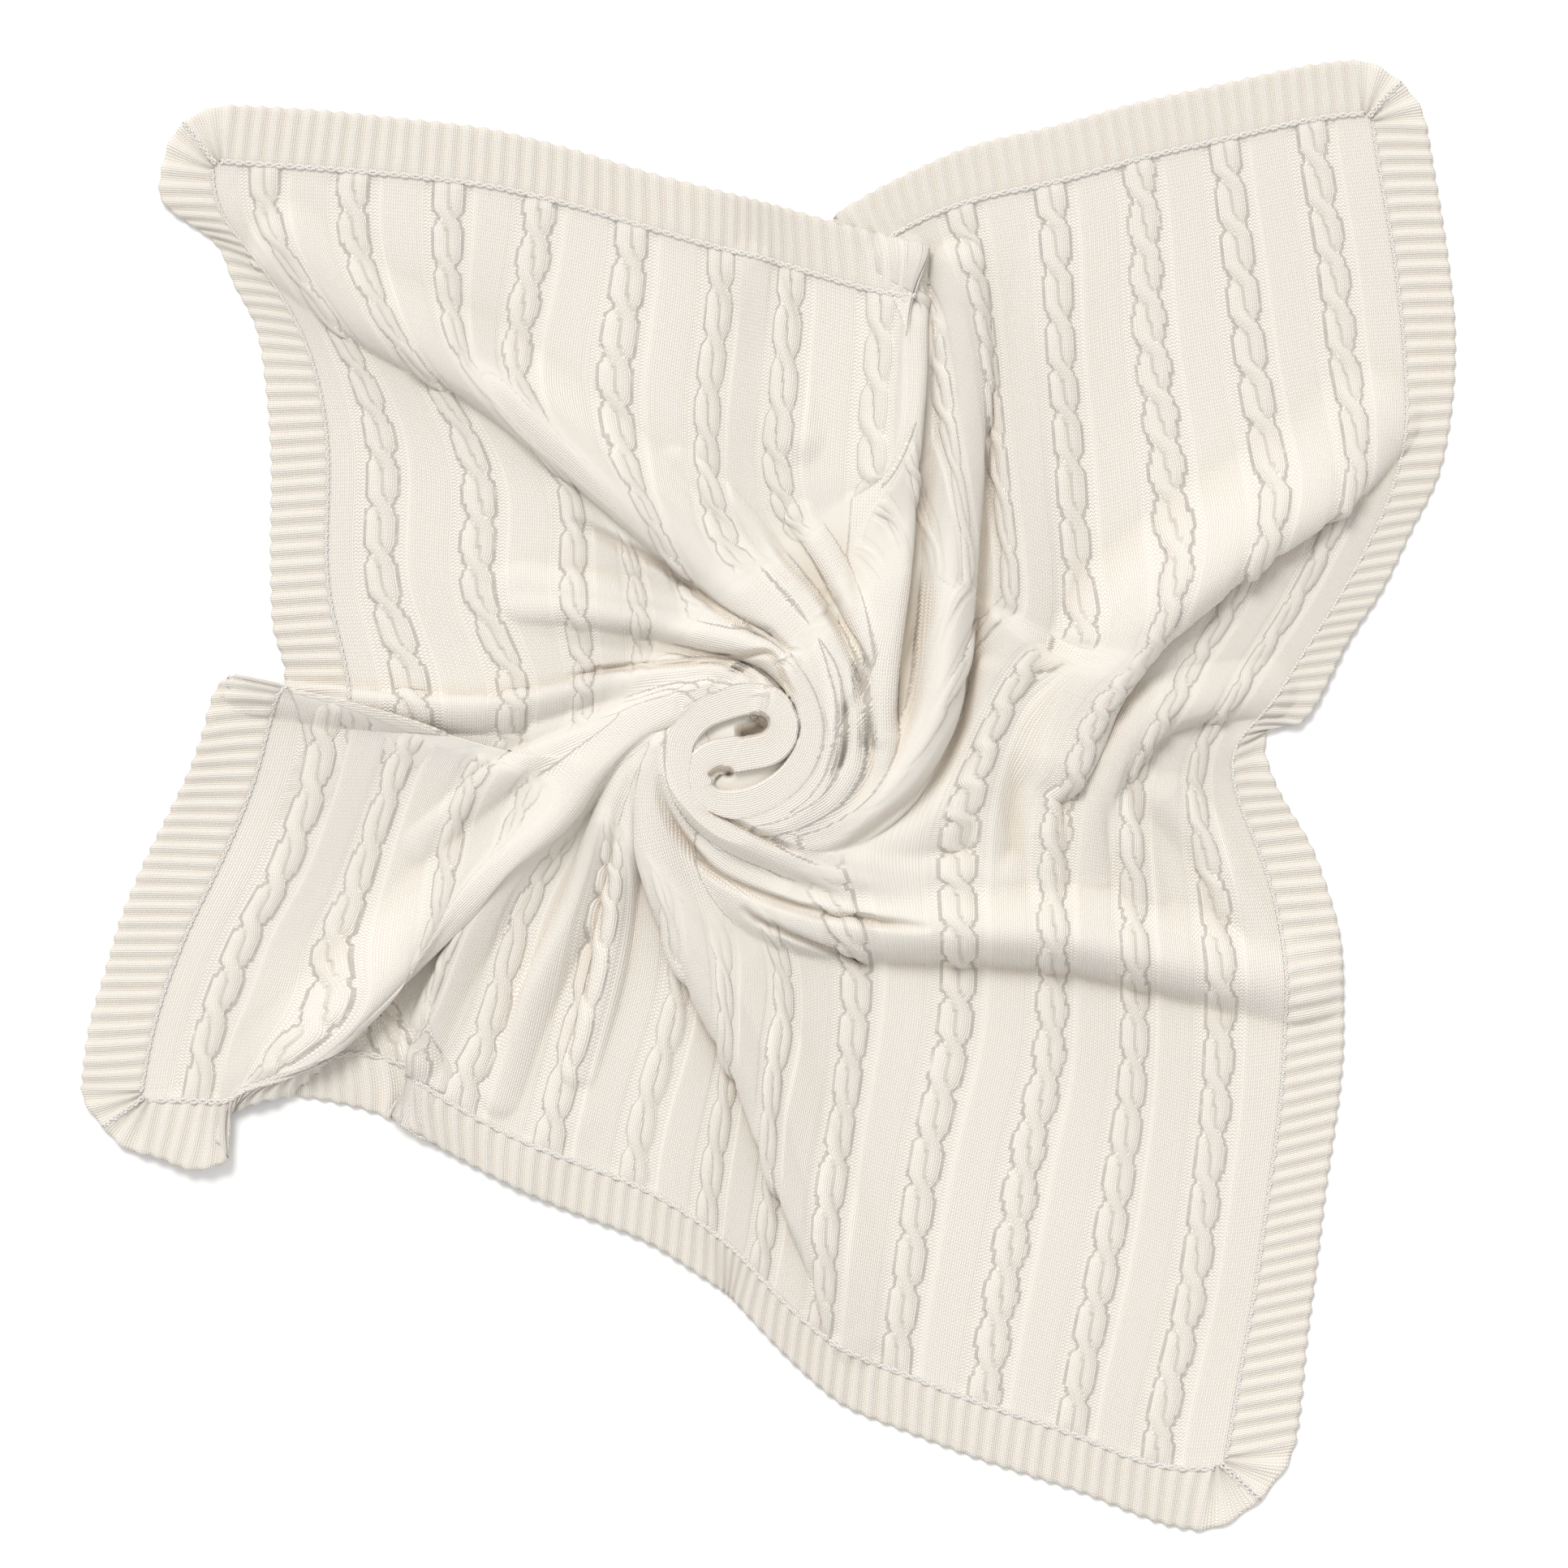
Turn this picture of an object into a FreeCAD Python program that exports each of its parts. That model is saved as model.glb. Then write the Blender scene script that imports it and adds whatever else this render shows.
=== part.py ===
"""Cable-knit cot blanket with a ribbed border, laid out and twisted into a swirl at its middle.

Millimetres.  +Z is up and the cloth rests on z = 0.  The origin is under the middle of the laid
blanket.  +X points to the blanket's right side and +Y to its top edge.

The twist pulls the border into lobes, one round each corner, that lap over one another.  A lobe is
drawn by its outer edge.  The rib border, the linking seam and the panel follow from that edge at
their own widths.  The panel carries the swirl and the folds that run out from it.
"""

import FreeCAD
import Part
import math
import os

# ---- driving dimensions ---------------------------------------------------------------------------
laid_width = 845.0        # across X, as the twisted blanket lies
laid_length = 903.0       # along Y, as the twisted blanket lies
border_width = 35.0       # depth of the 2x2 rib strips
border_height = 9.0       # height of the rib strips above the surface they lie on
seam_width = 3.0          # linking yarn between panel and rib
seam_height = 10.0        # the linking chain stands a little proud of the rib
seam_foot = 1.0           # and it is worked a little above the cloth's underside
corner_join_width = 3.0   # mitre stitching across the border at each corner
panel_height = 13.0       # height of the panel where it lies between folds
piece_clearance = 0.3     # between a strip, its seam, the corner joins and the panel
lap_hold = 1.0            # how far a strip runs into its own upper run where the border laps
swirl_height = 55.0       # top of the twisted knot above the surface
swirl_radius = 150.0      # foot of the mound under the knot
swirl_centre = (-0.047, 0.055)    # as shares of the half width and half length
station_pitch = 11.0      # between the stations along an edge where it is set in to its inner side
least_step = 0.1          # least share of that pitch between two points of an inner side

# ---- lobes, the upper ones first: the outer edge of the border round each corner -------------------
# Points are shares of the half width and the half length, clockwise as seen from above.  "corner"
# is the point that the mitre stitching crosses; "sides" are the strips before and after it.
lobes = {
    "bottom_left": {
        "edge": [(-0.80, -0.517), (-0.88, -0.50), (-0.965, -0.455), (-0.998, -0.37), (-0.975, -0.26),
                 (-0.92, -0.12), (-0.87, -0.015), (-0.825, 0.09), (-0.79, 0.152)],
        "corner": 2,
        "sides": ("bottom", "left"),
    },
    "top_left": {
        "edge": [(-0.80, 0.06), (-0.72, 0.14), (-0.728, 0.30), (-0.745, 0.58), (-0.81, 0.70),
                 (-0.875, 0.80), (-0.865, 0.885), (-0.80, 0.93), (-0.65, 0.93), (-0.415, 0.90),
                 (-0.18, 0.842), (0.05, 0.765), (0.225, 0.742)],
        "corner": 6,
        "sides": ("left", "top"),
    },
    "top_right": {
        "edge": [(0.08, 0.74), (0.13, 0.80), (0.25, 0.85), (0.41, 0.908), (0.59, 0.95),
                 (0.77, 0.988), (0.87, 0.995), (0.94, 0.95), (0.965, 0.86), (0.99, 0.72),
                 (0.997, 0.61), (0.98, 0.47), (0.91, 0.33), (0.84, 0.205), (0.785, 0.10)],
        "corner": 7,
        "sides": ("top", "right"),
    },
    "bottom_right": {
        "edge": [(0.80, 0.16), (0.735, 0.09), (0.73, 0.03), (0.785, -0.07), (0.825, -0.19),
                 (0.83, -0.36), (0.80, -0.60), (0.77, -0.84), (0.72, -0.96), (0.62, -0.995),
                 (0.50, -0.98), (0.30, -0.908), (0.11, -0.835), (0.0, -0.75), (-0.065, -0.682),
                 (-0.17, -0.615), (-0.35, -0.545), (-0.51, -0.47), (-0.61, -0.44), (-0.71, -0.435),
                 (-0.81, -0.465)],
        "corner": 8,
        "sides": ("right", "bottom"),
    },
}

# ---- folds of the panel, from the swirl outwards ---------------------------------------------------
# Each is its spine, its width and height at the swirl end, and its width and height at the outer end.
folds = {
    "top_left_long": ([(0.0, 0.17), (-0.12, 0.33), (-0.35, 0.53), (-0.60, 0.69)], 34, 38, 26, 16),
    "top_left_edge": ([(0.14, 0.12), (0.18, 0.30), (0.205, 0.48), (0.21, 0.62)], 28, 36, 20, 16),
    "top_right_groove": ([(0.19, 0.05), (0.27, 0.22), (0.31, 0.45), (0.32, 0.66)], 28, 34, 20, 15.5),
    "top_right_diagonal": ([(0.36, 0.05), (0.52, 0.24), (0.68, 0.35), (0.80, 0.425)], 34, 32, 28, 18),
    "right_lower": ([(0.08, -0.11), (0.35, -0.18), (0.55, -0.21), (0.70, -0.235)], 32, 36, 26, 16),
    "bottom_right_edge": ([(-0.16, -0.06), (-0.11, -0.23), (-0.01, -0.43), (0.07, -0.66)],
                          28, 36, 24, 17),
    "bottom_left_edge": ([(-0.20, -0.04), (-0.34, -0.15), (-0.50, -0.26), (-0.64, -0.36)],
                         30, 34, 26, 16),
    "left_lap": ([(-0.22, 0.17), (-0.36, 0.12), (-0.52, 0.11), (-0.66, 0.12)], 28, 32, 24, 16),
}

# ---- the two arms of the twist that stand on the mound ---------------------------------------------
arm_start_angles = (20.0, 200.0)  # degrees about the swirl centre, where each arm leaves the crown
arm_sweep = -200.0        # degrees that an arm turns, clockwise as seen from above
arm_inner_radius = 26.0
arm_outer_radius = 84.0
arm_width = 26.0
arm_outer_height = 42.0   # top of an arm where it runs out into the folds
arm_stations = 7


def at(share_x, share_y, z=0.0):
    """A point from its shares of the laid blanket's half width and half length."""
    return FreeCAD.Vector(share_x * laid_width / 2, share_y * laid_length / 2, z)


def curve_through(points):
    """One smooth open curve through points."""
    curve = Part.BSplineCurve()
    curve.interpolate(points)
    return curve


def part_of_edge(lobe, first, last):
    """Stations along a lobe's edge between two of its points: a place and its inward direction."""
    curve = curve_through([at(*share) for share in lobe["edge"]])
    start = curve.parameter(at(*lobe["edge"][first]))
    end = curve.parameter(at(*lobe["edge"][last]))
    count = math.ceil(curve.length(start, end) / station_pitch)
    found = []
    for step in range(count + 1):
        along = start + (end - start) * step / count
        tangent = curve.tangent(along)[0]
        inward = FreeCAD.Vector(tangent.y, -tangent.x, 0).normalize()
        found.append((curve.value(along), inward))
    return found


def line_at(stations, depth):
    """Points at a depth from an edge.  Those that a tight bend would turn back on are left out."""
    line = []
    for place, inward in stations:
        point = place + inward * depth
        onward = FreeCAD.Vector(-inward.y, inward.x, 0)
        if not line or (point - line[-1]).dot(onward) > station_pitch * least_step:
            line.append(point)
    return line


def strip(stations, near, far, height):
    """The cloth between two depths from an edge, as a solid that stands on z = 0."""
    outer = line_at(stations, near)
    inner = line_at(stations, far)
    sides = [
        curve_through(outer).toShape(),
        Part.makeLine(outer[-1], inner[-1]),
        curve_through(inner[::-1]).toShape(),
        Part.makeLine(inner[0], outer[0]),
    ]
    return Part.Face(Part.Wire(sides)).extrude(FreeCAD.Vector(0, 0, height))


def floor_of(stations, depth, height):
    """The whole of a lobe inside a depth from its edge, closed at the swirl."""
    inner = line_at(stations, depth)
    middle = at(*swirl_centre)
    sides = [
        curve_through(inner).toShape(),
        Part.makeLine(inner[-1], middle),
        Part.makeLine(middle, inner[0]),
    ]
    return Part.Face(Part.Wire(sides)).extrude(FreeCAD.Vector(0, 0, height))


def fold_section(place, across, width, top):
    """A closed cross-section of a fold, with its foot inside the panel's floor."""
    foot_height = panel_height / 2
    rise = top - foot_height
    foot = place + FreeCAD.Vector(0, 0, foot_height)
    left = foot - across * (width / 2)
    right = foot + across * (width / 2)
    points = [
        left,
        left * 0.8 + right * 0.2 + FreeCAD.Vector(0, 0, rise * 0.72),
        foot + FreeCAD.Vector(0, 0, rise),
        left * 0.2 + right * 0.8 + FreeCAD.Vector(0, 0, rise * 0.72),
        right,
    ]
    return Part.Wire([curve_through(points).toShape(), Part.makeLine(right, left)])


def ridge(spine, widths, heights):
    """A fold along a spine, from one width and height to another."""
    curve = curve_through(spine)
    sections = []
    count = max(len(spine), arm_stations)
    for step in range(count):
        share = step / (count - 1)
        along = curve.FirstParameter + (curve.LastParameter - curve.FirstParameter) * share
        tangent = curve.tangent(along)[0]
        across = FreeCAD.Vector(-tangent.y, tangent.x, 0).normalize()
        width = widths[0] + (widths[1] - widths[0]) * share
        height = heights[0] + (heights[1] - heights[0]) * share
        sections.append(fold_section(curve.value(along), across, width, height))
    return Part.makeLoft(sections, True, False)


def arm(start_angle):
    """One arm of the twist: a spiral ridge from the crown out to the folds."""
    middle = at(*swirl_centre)
    spine = []
    for step in range(arm_stations):
        share = step / (arm_stations - 1)
        angle = math.radians(start_angle + arm_sweep * share)
        radius = arm_inner_radius + (arm_outer_radius - arm_inner_radius) * share
        spine.append(middle + FreeCAD.Vector(math.cos(angle), math.sin(angle), 0) * radius)
    return ridge(spine, (arm_width, arm_width), (swirl_height, arm_outer_height))


def mound():
    """The low dome of gathered cloth that the twist stands on."""
    crown_height = (arm_outer_height + panel_height) / 2
    profile = [
        FreeCAD.Vector(arm_inner_radius / 2, 0, crown_height),
        FreeCAD.Vector(swirl_radius * 0.4, 0, crown_height * 0.86),
        FreeCAD.Vector(swirl_radius, 0, panel_height * 0.6),
    ]
    foot = FreeCAD.Vector(swirl_radius, 0, 0)
    middle = FreeCAD.Vector(0, 0, 0)
    crown = FreeCAD.Vector(0, 0, crown_height)
    sides = [
        curve_through(profile).toShape(),
        Part.makeLine(profile[-1], foot),
        Part.makeLine(foot, middle),
        Part.makeLine(middle, crown),
        Part.makeLine(crown, profile[0]),
    ]
    face = Part.Face(Part.Wire(sides))
    dome = face.revolve(FreeCAD.Vector(0, 0, 0), FreeCAD.Vector(0, 0, 1), 360)
    dome.translate(at(*swirl_centre))
    return dome


def stitching(place, inward, half_width, depth):
    """The mitre stitching that crosses the border at a corner."""
    along = FreeCAD.Vector(-inward.y, inward.x, 0) * half_width
    outline = Part.makePolygon([
        place - along,
        place + along,
        place + along + inward * depth,
        place - along + inward * depth,
        place - along,
    ])
    return Part.Face(outline).extrude(FreeCAD.Vector(0, 0, seam_height))


# ---- border, seams and panel floor, lobe by lobe ---------------------------------------------------
seam_near = border_width + piece_clearance
seam_far = seam_near + seam_width
panel_depth = seam_far + piece_clearance
hidden_depth = seam_far + piece_clearance / 2    # room for a border and seam that run on under the panel
hidden_height = max(border_height, seam_height) + piece_clearance

borders = {}         # side of the blanket -> solids of its rib strip
seams = {}           # side of the blanket -> solids of its linking yarn
corner_joins = {}
floors = []
hidden_bands = []    # relief in the seams for a border that runs on beneath them
hidden_runs = []     # relief under the panel for a border that runs on beneath an upper lobe
upper_covers = []    # what lies over the lobes that come later in the order

for name, lobe in lobes.items():
    before = part_of_edge(lobe, 0, lobe["corner"])
    after = part_of_edge(lobe, lobe["corner"], len(lobe["edge"]) - 1)
    whole = before + after[1:]
    runs = [(lobe["sides"][0], before), (lobe["sides"][1], after)]
    place, inward = after[0]
    corner_joins[name] = stitching(place, inward, corner_join_width / 2, border_width)
    join_room = stitching(
        place, inward, corner_join_width / 2 + piece_clearance, border_width + piece_clearance)
    for side, run in runs:
        band = strip(run, 0, border_width, border_height)
        yarn = strip(run, seam_near, seam_far, seam_height - seam_foot)
        yarn.translate(FreeCAD.Vector(0, 0, seam_foot))
        band = band.cut(join_room)
        for cover in upper_covers:
            band = band.cut(cover["band"])
            yarn = yarn.cut(cover["zone"])
            yarn = yarn.cut(cover["floor"])
        if upper_covers:
            hidden_bands.append(strip(run, -piece_clearance, border_width + piece_clearance / 2,
                                      border_height + piece_clearance))
        borders.setdefault(side, []).append(band)
        seams.setdefault(side, []).append(yarn)
    own_floor = floor_of(whole, panel_depth, panel_height)
    for cover in upper_covers:
        own_floor = own_floor.cut(cover["zone"])
    floors.append(own_floor)
    if upper_covers:
        hidden_runs.append(strip(whole, -piece_clearance, hidden_depth, hidden_height))
    upper_covers.append({
        "band": strip(whole, lap_hold, border_width - lap_hold, border_height),
        "zone": strip(whole, -piece_clearance, panel_depth, panel_height),
        "floor": floor_of(whole, seam_far, panel_height),
    })

# ---- the panel: its floors, the mound, the folds and the twist -------------------------------------
panel = floors[0].multiFuse(floors[1:])
raised = [mound()]
for spine, inner_width, outer_width, inner_height, outer_height in folds.values():
    raised.append(ridge([at(*share) for share in spine], (inner_width, outer_width),
                        (inner_height, outer_height)))
for start_angle in arm_start_angles:
    raised.append(arm(start_angle))
for solid in raised:
    panel = panel.fuse(solid)
for hidden in hidden_runs:
    panel = panel.cut(hidden)
panel = panel.removeSplitter()

# ---- the linking yarn lifts over a border that runs on under it ------------------------------------
for side in seams:
    for hidden in hidden_bands:
        seams[side] = [yarn.cut(hidden) for yarn in seams[side]]

# ---- one file for each piece -----------------------------------------------------------------------
pieces = {"cable_panel": panel}
for side, bands in borders.items():
    pieces["rib_border_" + side] = bands[0].multiFuse(bands[1:]).removeSplitter()
for side, yarns in seams.items():
    pieces["linking_seam_" + side] = Part.makeCompound([s for yarn in yarns for s in yarn.Solids])
for name, join in corner_joins.items():
    pieces["corner_join_" + name] = join

os.makedirs("parts", exist_ok=True)
for name, piece in pieces.items():
    print(name, piece.isValid(), len(piece.Solids), round(piece.Volume / 1000, 1), "cm3")
    piece.exportStep("parts/" + name + ".step")
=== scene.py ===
"""Cable-knit cot blanket with a ribbed border, laid out and twisted into a swirl at its middle.

Every piece is knitted flat and then laid.  A flat place is (a, b), in millimetres from the middle of
the flat blanket: a runs to its right side and b to its top edge.  A laid place is in the CAD model's
own frame.  Lengths are millimetres until a mesh is made, which is in metres.
"""

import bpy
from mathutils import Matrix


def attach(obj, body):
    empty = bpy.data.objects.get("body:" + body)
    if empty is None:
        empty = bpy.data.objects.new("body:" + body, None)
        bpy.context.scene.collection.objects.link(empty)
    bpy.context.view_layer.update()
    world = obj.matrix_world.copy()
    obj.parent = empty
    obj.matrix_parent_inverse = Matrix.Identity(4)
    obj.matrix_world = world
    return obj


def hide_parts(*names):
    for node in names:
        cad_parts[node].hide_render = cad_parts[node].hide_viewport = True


bl_info = {
    "name": "Cable-knit blanket",
    "version": (1, 0, 0),
    "blender": (4, 5, 0),
    "location": "3D View > Sidebar > Blanket",
    "description": "Knits and lays a cable-knit blanket with a ribbed border round its CAD model",
    "category": "Object",
}

import math

import bpy
import numpy as np

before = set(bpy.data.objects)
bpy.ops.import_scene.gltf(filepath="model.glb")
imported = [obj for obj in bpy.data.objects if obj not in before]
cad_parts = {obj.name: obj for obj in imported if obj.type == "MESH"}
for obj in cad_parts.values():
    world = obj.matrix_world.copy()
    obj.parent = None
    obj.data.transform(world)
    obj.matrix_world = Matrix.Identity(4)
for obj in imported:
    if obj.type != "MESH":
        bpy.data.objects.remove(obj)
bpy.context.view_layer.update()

MM = 0.001

# ---- how the blanket lies: flat place -> laid place ------------------------------------------------
# Outer edge of the border, one list a side.  Each row is the place along the flat edge, then the laid
# x, y and height.  Rows that turn back are the folds that are tucked under a neighbouring lobe.
TOP_EDGE = [
    (-465, -372, 422, 3), (-415, -325, 422, 3), (-365, -275, 419, 3), (-314, -225, 414, 3),
    (-264, -175, 408, 3), (-213, -125, 396, 3), (-161, -75, 381, 3), (-110, -25, 368, 4),
    (-58, 12, 358, 5), (0, 68, 342, 8), (28, 96, 335, 10), (58, 69, 342, 6), (86, 40, 354, 3),
    (104, 55, 365, 2), (127, 75, 376, 2), (154, 100, 388, 2), (181, 125, 398, 2), (232, 175, 410, 2),
    (284, 225, 424, 2), (336, 275, 435, 2), (387, 325, 446, 2), (430, 365, 450, 2), (465, 398, 445, 2),
]

RIGHT_EDGE = [
    (420, 405, 402, 2), (364, 414, 348, 2), (304, 421, 288, 2), (244, 418, 228, 2), (208, 410, 192, 2),
    (174, 395, 162, 2), (130, 375, 122, 3), (94, 355, 92, 4), (60, 340, 62, 5), (32, 324, 41, 5),
    (18, 311, 41, 3), (5, 304, 30, 2), (-10, 308, 12, 2), (-38, 320, -12, 2), (-60, 332, -32, 2),
    (-85, 342, -58, 2), (-116, 350, -88, 4), (-151, 352, -122, 4), (-191, 352, -162, 3),
    (-232, 348, -202, 2), (-272, 342, -242, 2), (-322, 336, -292, 2), (-368, 330, -338, 2),
    (-408, 326, -380, 2), (-444, 320, -416, 2), (-470, 312, -448, 2),
]

BOTTOM_EDGE = [
    (-465, -419, -212, 4), (-438, -400, -220, 5), (-411, -375, -226, 8), (-390, -355, -233, 10),
    (-368, -333, -225, 12), (-348, -344, -210, 7), (-320, -322, -194, 3), (-295, -296, -188, 2),
    (-265, -266, -192, 2), (-238, -239, -200, 2), (-201, -205, -218, 3), (-185, -219, -212, 5),
    (-168, -234, -200, 9), (-144, -215, -212, 7), (-98, -175, -235, 4), (-43, -125, -258, 4),
    (11, -75, -278, 4), (44, -48, -295, 4), (65, -32, -306, 3), (96, -22, -314, 4), (129, 0, -338, 4),
    (164, 25, -362, 4), (190, 45, -378, 3), (222, 75, -391, 2), (276, 125, -410, 2),
    (355, 200, -435, 2), (387, 230, -447, 2), (428, 268, -455, 2),
]

LEFT_EDGE = [
    (432, -374, 388, 4), (412, -376, 366, 5), (390, -359, 350, 3), (365, -340, 335, 2),
    (344, -332, 315, 2), (329, -325, 302, 2), (312, -318, 288, 2), (272, -311, 248, 2),
    (232, -308, 208, 2), (152, -308, 128, 2), (122, -306, 98, 2), (100, -300, 78, 2), (70, -299, 48, 2),
    (20, -302, 0, 2), (-25, -310, -38, 2), (-70, -319, 2, 5), (-110, -326, 40, 8), (-142, -332, 65, 13),
    (-154, -333, 70, 15), (-168, -341, 62, 15), (-188, -348, 40, 12), (-218, -358, 12, 8),
    (-240, -368, -8, 5), (-279, -385, -42, 5), (-317, -400, -78, 5), (-354, -410, -112, 5),
    (-380, -418, -138, 5), (-410, -423, -168, 5), (-435, -424, -188, 5),
]

# Places inside the panel, mostly on its cables: flat a and b, then the laid x, y and height.
INNER = [
    (-398, 395, -308, 346, 4), (-341, 395, -256, 342, 4), (-285, 395, -199, 336, 4),
    (-228, 395, -146, 326, 4), (-172, 395, -88, 310, 4), (-116, 395, -32, 292, 4), (-60, 395, 9, 282, 3),
    (0, 395, 68, 265, 8), (-228, 320, -154, 258, 5), (-172, 320, -95, 238, 5), (-116, 320, -39, 218, 5),
    (-60, 320, 2, 208, 5), (-3, 320, 61, 192, 8), (-398, 230, -240, 208, 3), (-341, 225, -180, 192, 3),
    (-285, 228, -125, 188, 3), (-398, 150, -240, 128, 3), (-341, 150, -179, 120, 3),
    (-285, 150, -121, 118, 4), (-398, 110, -228, 88, 3), (-341, 102, -159, 72, 4),
    (-398, -428, -352, -182, 7), (-398, -352, -332, -110, 7), (-398, -286, -302, -52, 7),
    (-398, -222, -280, 8, 10), (-398, -182, -272, 45, 14), (-341, -400, -299, -158, 8),
    (-341, -330, -271, -98, 8), (-341, -265, -248, -38, 8), (-341, -215, -230, 12, 12),
    (-285, -300, -210, -82, 9), (-285, -240, -196, -28, 8), (391, -408, 240, -388, 3),
    (391, -331, 258, -312, 3), (391, -260, 268, -242, 3), (391, -185, 275, -168, 3),
    (334, -401, 190, -362, 3), (334, -299, 210, -262, 3), (334, -233, 220, -198, 3),
    (278, -405, 135, -348, 3), (278, -324, 150, -268, 3), (278, -268, 160, -212, 3),
    (278, -226, 170, -172, 3), (221, -411, 78, -332, 3), (221, -330, 90, -252, 4),
    (221, -268, 102, -192, 4), (221, -232, 110, -158, 4), (164, -388, 35, -292, 5),
    (164, -318, 40, -222, 5), (164, -242, 49, -148, 6), (391, 410, 335, 388, 3), (391, 349, 345, 328, 3),
    (391, 288, 352, 268, 3), (391, 244, 358, 222, 4), (334, 406, 282, 372, 3), (334, 341, 290, 308, 3),
    (334, 280, 298, 248, 3), (334, 225, 305, 192, 5), (278, 418, 228, 372, 3), (278, 344, 232, 298, 3),
    (278, 273, 240, 228, 3), (278, 203, 245, 158, 5), (221, 423, 172, 362, 3), (221, 323, 178, 262, 3),
    (221, 228, 185, 168, 4), (221, 158, 185, 98, 6), (108, 305, 100, 272, 8), (108, 220, 111, 188, 8),
    (108, 150, 109, 118, 9), (-6, -390, -80, -198, 5), (-62, -390, -130, -178, 5),
    (-118, -390, -180, -158, 5),
    # the bottom-left lobe's free edge, the crease tucked under it and the cloth below
    (-320, -400, -275, -162, 12), (-315, -375, -247, -137, 12), (-300, -340, -225, -110, 12),
    (-280, -395, -279, -152, 5), (-262, -345, -240, -118, 5), (-229, -412, -240, -138, 2),
    (-199, -420, -197, -174, 3), (-169, -420, -222, -160, 8),
    # the cloth between that lobe and the bottom-right one
    (-118, -315, -155, -78, 6), (-60, -315, -105, -88, 6), (-4, -325, -58, -132, 6),
]

SWIRL_FLAT = (0.0, 8.0)      # the flat place at the heart of the twist
SWIRL_LAID = (-20.0, 25.0)   # and where it lies
SWIRL_HEIGHT = 6.0

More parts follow.
